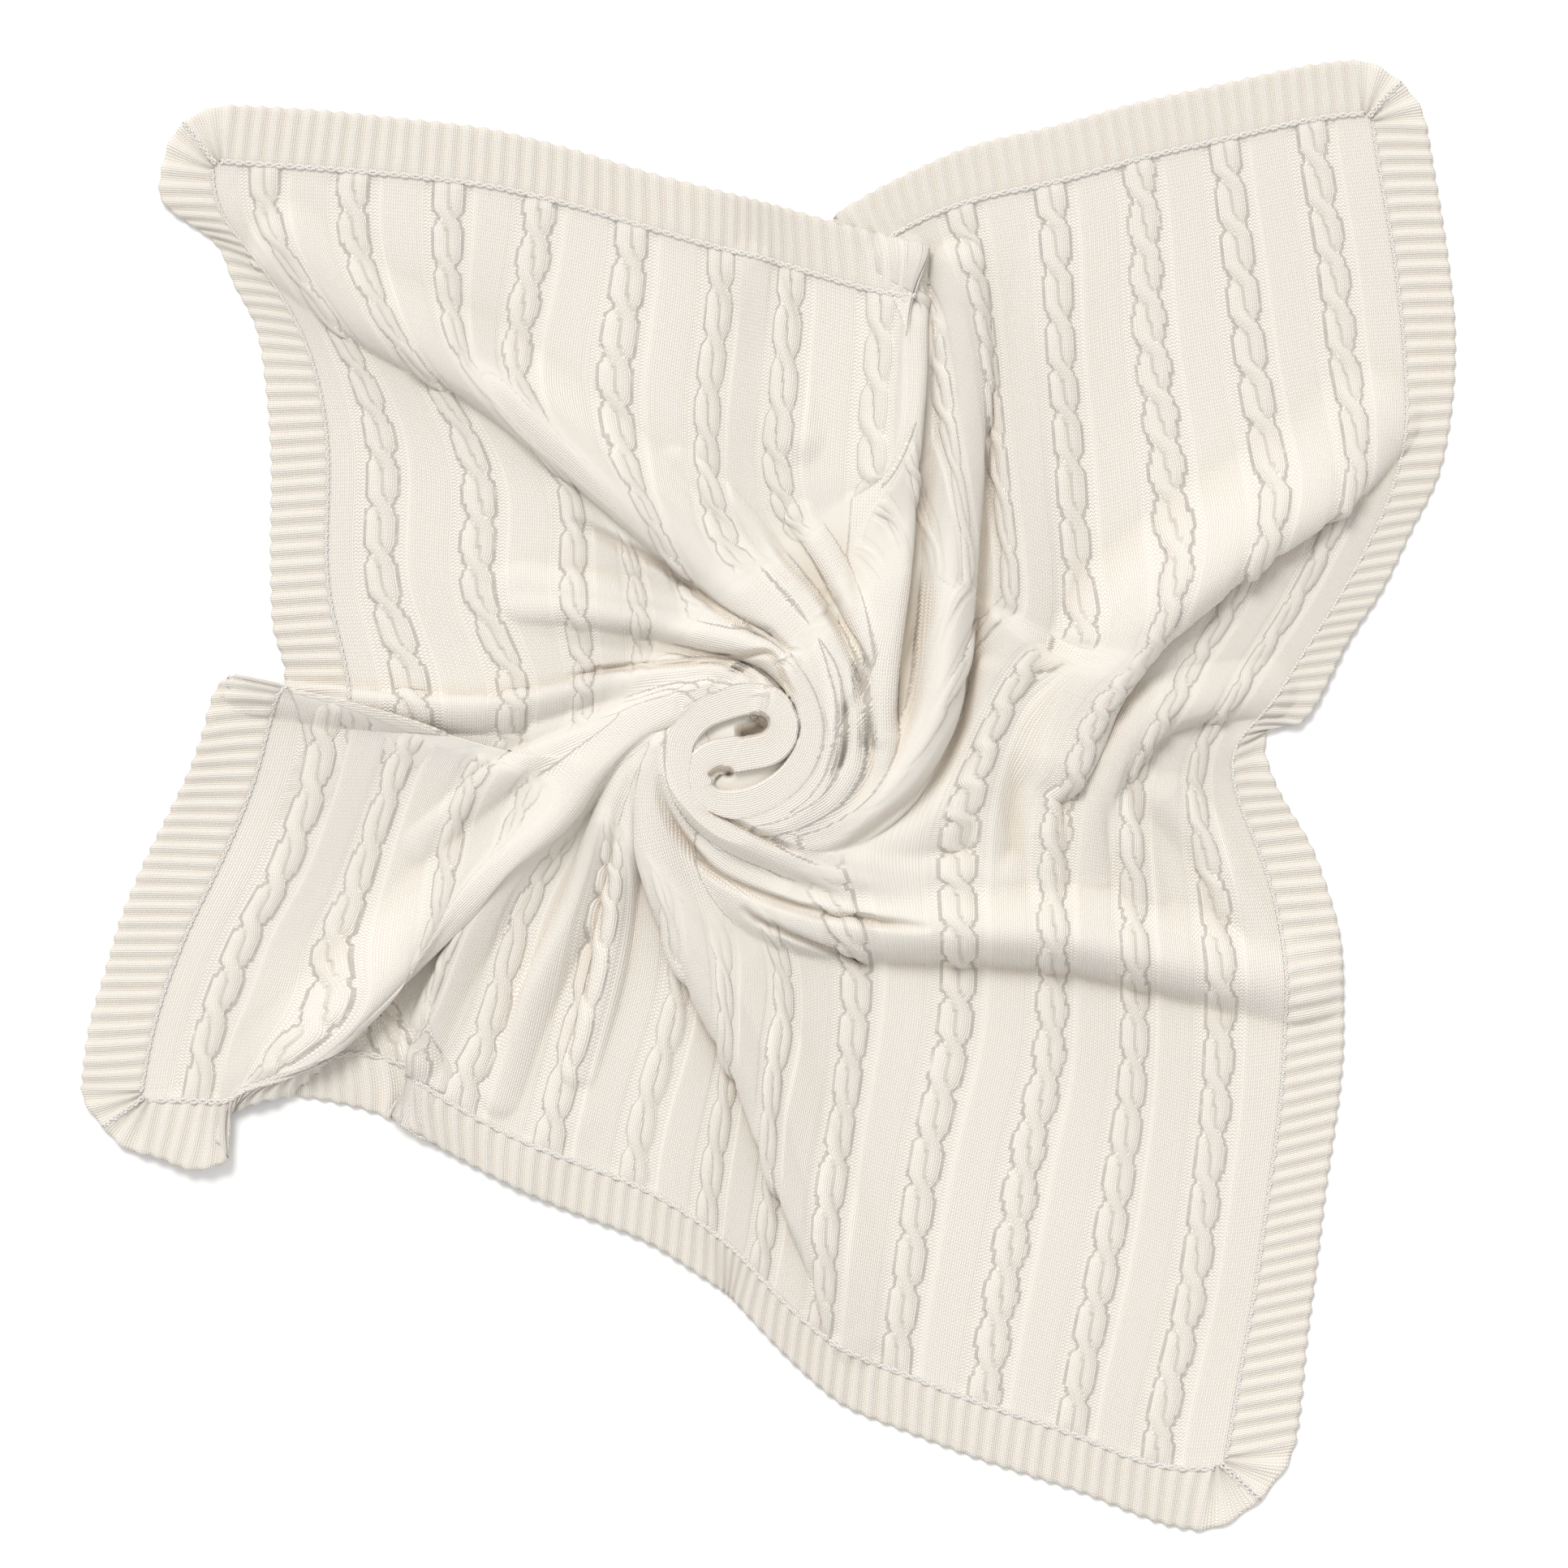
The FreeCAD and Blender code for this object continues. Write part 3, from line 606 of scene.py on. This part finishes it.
# ---- materials ------------------------------------------------------------------------------------
class Nodes:
    """Short forms for building one material."""

    def __init__(self, name):
        self.material = bpy.data.materials.new(name)
        self.material.use_nodes = True
        self.tree = self.material.node_tree
        self.shader = self.tree.nodes["Principled BSDF"]

    def new(self, kind, **settings):
        node = self.tree.nodes.new(kind)
        for key, value in settings.items():
            setattr(node, key, value)
        return node

    def link(self, source, target):
        if isinstance(source, (int, float)):
            target.default_value = source
        else:
            self.tree.links.new(source, target)

    def math(self, operation, *values):
        node = self.new("ShaderNodeMath", operation=operation)
        for value, socket in zip(values, node.inputs):
            self.link(value, socket)
        return node.outputs[0]

    def blend(self, share, first, second):
        node = self.new("ShaderNodeMix", data_type="FLOAT")
        for value, socket in zip((share, first, second), (0, 2, 3)):
            self.link(value, node.inputs[socket])
        return node.outputs[0]

    def colour(self, share, first, second):
        node = self.new("ShaderNodeMix", data_type="RGBA")
        self.link(share, node.inputs[0])
        for value, socket in ((first, node.inputs[6]), (second, node.inputs[7])):
            if hasattr(value, "is_output"):
                self.tree.links.new(value, socket)
            else:
                socket.default_value = (*value, 1)
        return node.outputs[2]


def knit_material(name, props, wale, row, kind):
    """Soft cream yarn in knit stitches.  The Stitches map holds metres across and along the wales."""
    n = Nodes(name)
    stitches = n.new("ShaderNodeUVMap", uv_map="Stitches")
    split = n.new("ShaderNodeSeparateXYZ")
    n.link(stitches.outputs[0], split.inputs[0])
    u = n.math("DIVIDE", split.outputs[0], wale * MM)
    v = n.math("DIVIDE", split.outputs[1], row * MM)
    aside = n.math("ABSOLUTE", n.math("SUBTRACT", n.math("FRACT", u), 0.5))
    leg = n.math("SINE", n.math("MULTIPLY", aside, 2 * math.pi))
    climb = n.math("SUBTRACT", v, n.math("MULTIPLY", aside, 1.6))
    loop = n.math("ABSOLUTE", n.math("SINE", n.math("MULTIPLY", climb, math.pi)))
    knit = n.math("MULTIPLY", leg, n.math("POWER", loop, 0.55))
    slant = n.math("ADD", v, n.math("MULTIPLY", aside, 1.2))
    bar = n.math("ABSOLUTE", n.math("SINE", n.math("MULTIPLY", slant, math.pi)))
    bead = n.math("MULTIPLY", bar, n.math("ADD", 0.55, n.math("MULTIPLY", leg, 0.45)))
    if kind == "panel":
        purl = n.new("ShaderNodeAttribute", attribute_name="purl").outputs["Fac"]
        clear = n.new("ShaderNodeAttribute", attribute_name="clear").outputs["Fac"]
        stitch = n.blend(clear, 0.45, n.blend(purl, knit, bead))
    elif kind == "rib":
        stitch = knit
    else:
        stitch = bar
    fuzz = n.new("ShaderNodeTexNoise")
    fuzz.inputs["Scale"].default_value = 900.0
    fuzz.inputs["Detail"].default_value = 3.0
    cloud = n.new("ShaderNodeTexNoise")
    cloud.inputs["Scale"].default_value = 14.0
    place = n.new("ShaderNodeTexCoord")
    n.link(place.outputs["Object"], fuzz.inputs["Vector"])
    n.link(place.outputs["Object"], cloud.inputs["Vector"])
    height = n.math("ADD", stitch, n.math("MULTIPLY", fuzz.outputs["Fac"], 0.35))
    bump = n.new("ShaderNodeBump")
    bump.inputs["Strength"].default_value = 0.7
    bump.inputs["Distance"].default_value = 0.0009
    n.link(height, bump.inputs["Height"])
    n.link(bump.outputs[0], n.shader.inputs["Normal"])
    # painted shade: the colour darkens towards the shaded yarn between the stitch loops and in the channels,
    # creases, valleys and furrows marked on the mesh
    painted_shade = n.new("ShaderNodeAttribute", attribute_name="painted_shade").outputs["Fac"]
    gap_shade = n.math("POWER", n.math("SUBTRACT", 1.0, n.math("MINIMUM", stitch, 1.0)), 2.0)
    shade = n.math("ADD", n.math("MULTIPLY", gap_shade, 0.6), n.math("MULTIPLY", painted_shade, 0.45))
    tint = n.colour(n.math("MINIMUM", shade, 1.0), props.yarn_colour, props.yarn_shade)
    warm = n.colour(n.math("MULTIPLY", cloud.outputs["Fac"], 0.35), tint, props.yarn_warmth)
    if kind == "panel":
        # where the stitches are too squeezed to show, the cloth is given painted shade for the shading they
        # would give it, darker again in its creases
        plain = n.colour(n.math("MULTIPLY", painted_shade, 0.5), SQUEEZED_SHADED_TONE, SQUEEZED_SHADE)
        warm = n.colour(clear, plain, warm)
    n.link(warm, n.shader.inputs["Base Color"])
    n.link(n.math("ADD", 0.78, n.math("MULTIPLY", fuzz.outputs["Fac"], 0.2)), n.shader.inputs["Roughness"])
    n.shader.inputs["Specular IOR Level"].default_value = 0.18
    n.shader.inputs["Subsurface Weight"].default_value = 0.08
    n.shader.inputs["Subsurface Radius"].default_value = (1.0, 0.72, 0.45)
    n.shader.inputs["Subsurface Scale"].default_value = 0.004
    n.shader.inputs["Sheen Weight"].default_value = 0.05
    n.shader.inputs["Sheen Roughness"].default_value = 0.5
    n.shader.inputs["Sheen Tint"].default_value = (1.0, 0.96, 0.9, 1.0)
    return n.material


# ---- what a user would change ----------------------------------------------------------------------
class BlanketSizes(bpy.types.PropertyGroup):
    flat_width: bpy.props.FloatProperty(
        name="Flat width", description="Width over the border, laid flat", default=0.93, unit="LENGTH")
    flat_length: bpy.props.FloatProperty(
        name="Flat length", description="Length over the border, laid flat", default=0.94, unit="LENGTH")
    border_width: bpy.props.FloatProperty(
        name="Border width", description="Depth of the ribbed strips", default=0.035, unit="LENGTH")
    cloth_thickness: bpy.props.FloatProperty(
        name="Cloth thickness", description="Thickness of the knitted ground", default=0.0024,
        precision=4, unit="LENGTH")
    cable_count: bpy.props.IntProperty(
        name="Cables", description="Number of cables across the panel", default=15)
    cable_pitch: bpy.props.FloatProperty(
        name="Cable pitch", description="Distance from one cable to the next", default=0.0563,
        precision=4, unit="LENGTH")
    crossing_pitch: bpy.props.FloatProperty(
        name="Crossing pitch", description="Distance between a cable's crossings", default=0.0305,
        precision=4, unit="LENGTH")
    cable_height: bpy.props.FloatProperty(
        name="Cable height", description="Height of a cable over the ground", default=0.0021,
        precision=4, unit="LENGTH")
    rib_pitch: bpy.props.FloatProperty(
        name="Rib pitch", description="Distance from one rib to the next", default=0.0098,
        precision=4, unit="LENGTH")
    rib_height: bpy.props.FloatProperty(
        name="Rib height", description="Height of a rib over its furrows", default=0.0019,
        precision=4, unit="LENGTH")
    twist: bpy.props.FloatProperty(
        name="Twist", description="How far the middle is turned", default=math.radians(210),
        subtype="ANGLE")
    yarn_colour: bpy.props.FloatVectorProperty(
        name="Yarn", description="Colour of the yarn", default=(0.875, 0.845, 0.80), subtype="COLOR")
    yarn_shade: bpy.props.FloatVectorProperty(
        name="Shaded yarn", description="Colour deep between stitches", default=(0.68, 0.565, 0.43),
        subtype="COLOR")
    yarn_warmth: bpy.props.FloatVectorProperty(
        name="Warm yarn", description="The warmer tone that the yarn drifts to",
        default=(0.85, 0.81, 0.755), subtype="COLOR")


class StageSettings(bpy.types.PropertyGroup):
    camera_height: bpy.props.FloatProperty(
        name="Camera height", description="Camera above the floor", default=3.4, unit="LENGTH")
    view_width: bpy.props.FloatProperty(
        name="View width", description="Width of floor that the camera sees", default=0.966, unit="LENGTH")
    view_centre: bpy.props.FloatVectorProperty(
        name="View centre", description="Middle of the camera's view", default=(0.008, 0.0045), size=2,
        subtype="XYZ")
    sky: bpy.props.FloatProperty(
        name="Sky", description="Strength of the even light", default=0.77)
    key: bpy.props.FloatProperty(
        name="Key light", description="Strength of the soft key light", default=2.1)


def laying(props):
    return Laying((props.flat_width / MM / 2, props.flat_length / MM / 2), props.twist)


class OBJECT_OT_blanket_stage(bpy.types.Operator):
    """Floor, soft light and the camera straight above"""

    bl_idname = "object.blanket_stage"
    bl_label = "Stage"

    def execute(self, context):
        stage = context.scene.blanket_stage
        half = 6.0
        mesh = bpy.data.meshes.new("floor")
        mesh.from_pydata([(-half, -half, 0), (half, -half, 0), (half, half, 0), (-half, half, 0)],
                         [], [(0, 1, 2, 3)])
        floor = bpy.data.objects.new("floor", mesh)
        context.scene.collection.objects.link(floor)
        paper = Nodes("white_paper")
        paper.shader.inputs["Base Color"].default_value = (0.93, 0.93, 0.93, 1)
        paper.shader.inputs["Roughness"].default_value = 0.9
        paper.shader.inputs["Specular IOR Level"].default_value = 0.1
        mesh.materials.append(paper.material)
        world = bpy.data.worlds.new("soft_sky")
        context.scene.world = world
        world.use_nodes = True
        world.node_tree.nodes["Background"].inputs["Color"].default_value = (1.0, 0.995, 0.985, 1)
        world.node_tree.nodes["Background"].inputs["Strength"].default_value = stage.sky
        key = bpy.data.lights.new("key", "SUN")
        key.energy = stage.key
        key.angle = math.radians(24)
        key.color = (1.0, 0.985, 0.96)
        key_object = bpy.data.objects.new("key", key)
        key_object.rotation_euler = (math.radians(-36), math.radians(-16), 0)
        context.scene.collection.objects.link(key_object)
        lens = bpy.data.cameras.new("camera")
        lens.angle = 2 * math.atan(stage.view_width / 2 / stage.camera_height)
        camera = bpy.data.objects.new("camera", lens)
        camera.location = (*stage.view_centre, stage.camera_height)
        context.scene.collection.objects.link(camera)
        context.scene.camera = camera
        context.scene.view_settings.view_transform = "Standard"
        return {"FINISHED"}


class OBJECT_OT_blanket_panel(bpy.types.Operator):
    """The cable-knit panel, twisted and folded"""

    bl_idname = "object.blanket_panel"
    bl_label = "Cable panel"

    def execute(self, context):
        props = context.scene.blanket_sizes
        lay = laying(props)
        tuck = 0.5
        half_a = (props.flat_width - 2 * props.border_width) / MM / 2 + tuck
        half_b = (props.flat_length - 2 * props.border_width) / MM / 2 + tuck
        across_line = uneven_line(half_a, 1.9, 1.0)
        up_line = uneven_line(half_b, 2.3, 1.2)
        columns, rows = len(across_line), len(up_line)
        b, a = np.meshgrid(up_line, across_line, indexing="ij")
        flat = np.stack([a.ravel(), b.ravel()], -1)
        sheet = lay.sheet(flat)
        here, fold_way, on_fold, crease = raise_folds(sheet)
        from_heart = np.hypot(*(sheet[:, :2] - np.array(SWIRL_LAID)).T)
        # narrow slots between the folds round the heart are filled by cloth pushed up in them
        around = np.clip((from_heart - FILLED_FROM[0]) / FILLED_FROM[1], 0, 1)
        around = around * np.clip((FILLED_TO[0] - from_heart) / FILLED_TO[1], 0, 1)
        even = spread_out(here[:, 2].reshape(rows, columns), 5).ravel() - SLOT_DEPTH
        here[:, 2] += np.maximum(even - here[:, 2], 0) * around
        shape = (rows, columns, 3)
        normal = grid_normals(here.reshape(shape)).reshape(-1, 3)
        squeezed = least_stretch(sheet.reshape(shape), across_line, up_line).ravel()
        level = here[:, 2].reshape(rows, columns)
        # painted shade: places lower than the cloth round them are darkened in colour
        valley = np.clip((spread_out(level, 9) - level).ravel() / VALLEY_DEPTH, 0, 1)
        height, purl, across, painted_shade = panel_relief(flat[:, 0], flat[:, 1], props)
        open_knit = np.clip((squeezed - CLOSED_KNIT) / (OPEN_KNIT - CLOSED_KNIT), 0, 1)
        # below 0 where the stitches follow the folds, with the squeeze scaled to read as a distance
        loose = np.minimum(from_heart - ROLLED_NEAR, (squeezed - ROLLED_KNIT) * 150.0)
        rolled = on_fold & (loose < 0)
        clear = np.where(rolled, 1.0, open_knit) * np.clip(np.abs(loose) / STITCH_FADE, 0, 1)
        # the underside lies straight below the upper side near the heart, where the folds are close
        upright = (1 / (1 + np.exp((from_heart - 150.0) / 12.0)))[:, None]
        through = normal * (1 - upright) + np.array((0, 0, 1.0)) * upright
        # the cables end in a low welt at the top and bottom hems
        hem_depth, welt = 6.0, 0.6
        hem = np.clip((half_b - np.abs(flat[:, 1])) / hem_depth, 0, 1)
        top = here + normal * (height * open_knit * hem + welt * (1 - hem))[:, None]
        bottom = here - through * (props.cloth_thickness / MM)
        stitches = np.where(rolled[:, None], fold_way, np.stack([across, flat[:, 1]], -1))
        stitches = stitches.reshape(rows, columns, 2) * MM
        purl = purl * open_knit
        # painted shade in the colour: purl channels and crossings where the cables stand open, creases and
        # valleys
        painted_shade = np.maximum(painted_shade * open_knit * 0.6, np.maximum(crease * 0.8, valley * 0.9))
        material = knit_material("cable_knit", props, 2.7, 2.2, "panel")
        panel = closed_sheet("knit_panel", top.reshape(shape), bottom.reshape(shape),
                             stitches, {"purl": purl, "painted_shade": painted_shade, "clear": clear}, material)
        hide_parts("cable_panel")
        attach(panel, "root")
        return {"FINISHED"}


class OBJECT_OT_blanket_borders(bpy.types.Operator):
    """The four strips of two-by-two rib"""

    bl_idname = "object.blanket_borders"
    bl_label = "Rib borders"

    def execute(self, context):
        props = context.scene.blanket_sizes
        lay = laying(props)
        material = knit_material("rib_knit", props, props.rib_pitch / MM / 4, 1.9, "rib")
        border = props.border_width / MM
        for side in SIDES:
            length = edge_frame(side, np.zeros(1), props)[2]
            ribs = round(length * MM / props.rib_pitch)
            columns, rows = ribs * 8 + 1, 15
            along = np.linspace(0, length, columns)
            inner, outward, _ = edge_frame(side, along, props)
            phase = along / length * ribs * (props.rib_pitch / MM)
            scallop = SCALLOP * np.cos(2 * np.pi * phase / (props.rib_pitch / MM))
            share = np.linspace(0, 1, rows)
            depth = share[:, None] * (border + scallop[None, :])
            flat = (inner[None] + outward[None] * depth[..., None]).reshape(-1, 2)
            here, normal = surface(lay, flat)
            from_edge = (border * (1 - share)).repeat(columns)
            height, furrow = rib_relief(np.tile(phase, rows), from_edge, props)
            top = here + normal * height[:, None]
            bottom = here - normal * (props.cloth_thickness / MM * RIB_THINNING)
            stitches = np.stack([np.tile(phase, rows), depth.ravel()], -1).reshape(rows, columns, 2) * MM
            shape = (rows, columns, 3)
            # painted shade: the colour darkens in the furrows between the ribs
            strip = closed_sheet("rib_strip_" + side, top.reshape(shape), bottom.reshape(shape), stitches,
                                 {"painted_shade": furrow * 0.5}, material)
            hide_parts("rib_border_" + side)
            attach(strip, "root")
        return {"FINISHED"}


# length of a link, sway, height over the cloth and yarn radius of the linking seams
RAISED_CHAIN = (6.4, 0.95, 0.8, 1.05)    # at the top and the bottom
FINE_LADDER = (4.4, 0.6, 0.4, 0.8)       # at the sides


class OBJECT_OT_blanket_seams(bpy.types.Operator):
    """The linking yarn between the panel and the strips"""

    bl_idname = "object.blanket_seams"
    bl_label = "Linking seams"

    def execute(self, context):
        props = context.scene.blanket_sizes
        lay = laying(props)
        material = knit_material("seam_yarn", props, 2.0, 1.6, "yarn")
        for side in SIDES:
            length = edge_frame(side, np.zeros(1), props)[2]
            link, swing, stand, radius = RAISED_CHAIN if side in ("top", "bottom") else FINE_LADDER
            along = np.arange(14.0, length - 14.0, 0.9)
            inner, outward, _ = edge_frame(side, along, props)
            beat = 2 * np.pi * along / link
            tubes = []
            for turn in (0, np.pi):
                sway = swing * np.sin(beat / 2 + turn)
                flat = inner + outward * (sway + 0.2)[:, None]
                here, normal = surface(lay, flat)
                lift = stand + 0.3 * np.cos(beat + turn)
                tubes.append(yarn_tube(here + normal * lift[:, None], radius))
            seam = yarn_object("linking_yarn_" + side, tubes, material)
            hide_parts("linking_seam_" + side)
            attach(seam, "root")
        return {"FINISHED"}


class OBJECT_OT_blanket_corners(bpy.types.Operator):
    """The mitre stitching at the four corners"""

    bl_idname = "object.blanket_corners"
    bl_label = "Corner joins"

    def execute(self, context):
        props = context.scene.blanket_sizes
        lay = laying(props)
        material = knit_material("mitre_yarn", props, 2.0, 1.6, "yarn")
        for corner, side in CORNERS.items():
            inner, outward, _ = edge_frame(side, np.zeros(1), props)
            across = np.array((-outward[0, 1], outward[0, 0]))
            stitch_length = 4.0
            tubes = []
            for turn in (0.0, np.pi):
                depth = np.arange(0.0, props.border_width / MM - 0.5, 0.7)
                sway = np.sin(np.pi * depth / stitch_length + turn)
                flat = inner[0] + outward[0] * depth[:, None] + across * sway[:, None]
                here, normal = surface(lay, flat)
                lift = 1.5 + 0.5 * np.cos(2 * np.pi * depth / stitch_length + turn)
                tubes.append(yarn_tube(here + normal * lift[:, None], 0.9))
            join = yarn_object("mitre_yarn_" + corner, tubes, material)
            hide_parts("corner_join_" + corner)
            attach(join, "root")
        return {"FINISHED"}


class VIEW3D_PT_blanket(bpy.types.Panel):
    bl_label = "Cable-knit blanket"
    bl_space_type = "VIEW_3D"
    bl_region_type = "UI"
    bl_category = "Blanket"

    def draw(self, context):
        for group in (context.scene.blanket_sizes, context.scene.blanket_stage):
            for name in group.bl_rna.properties.keys():
                if name not in ("rna_type", "name"):
                    self.layout.prop(group, name)
        for operator in OPERATORS:
            self.layout.operator(operator.bl_idname)


OPERATORS = (
    OBJECT_OT_blanket_stage,
    OBJECT_OT_blanket_panel,
    OBJECT_OT_blanket_borders,
    OBJECT_OT_blanket_seams,
    OBJECT_OT_blanket_corners,
)
CLASSES = (BlanketSizes, StageSettings, *OPERATORS, VIEW3D_PT_blanket)


def register():
    for item in CLASSES:
        bpy.utils.register_class(item)
    bpy.types.Scene.blanket_sizes = bpy.props.PointerProperty(type=BlanketSizes)
    bpy.types.Scene.blanket_stage = bpy.props.PointerProperty(type=StageSettings)


def unregister():
    del bpy.types.Scene.blanket_stage
    del bpy.types.Scene.blanket_sizes
    for item in reversed(CLASSES):
        bpy.utils.unregister_class(item)


def main():
    register()
    bpy.ops.object.blanket_stage()
    bpy.ops.object.blanket_panel()
    bpy.ops.object.blanket_borders()
    bpy.ops.object.blanket_seams()
    bpy.ops.object.blanket_corners()


if __name__ == "__main__":
    main()
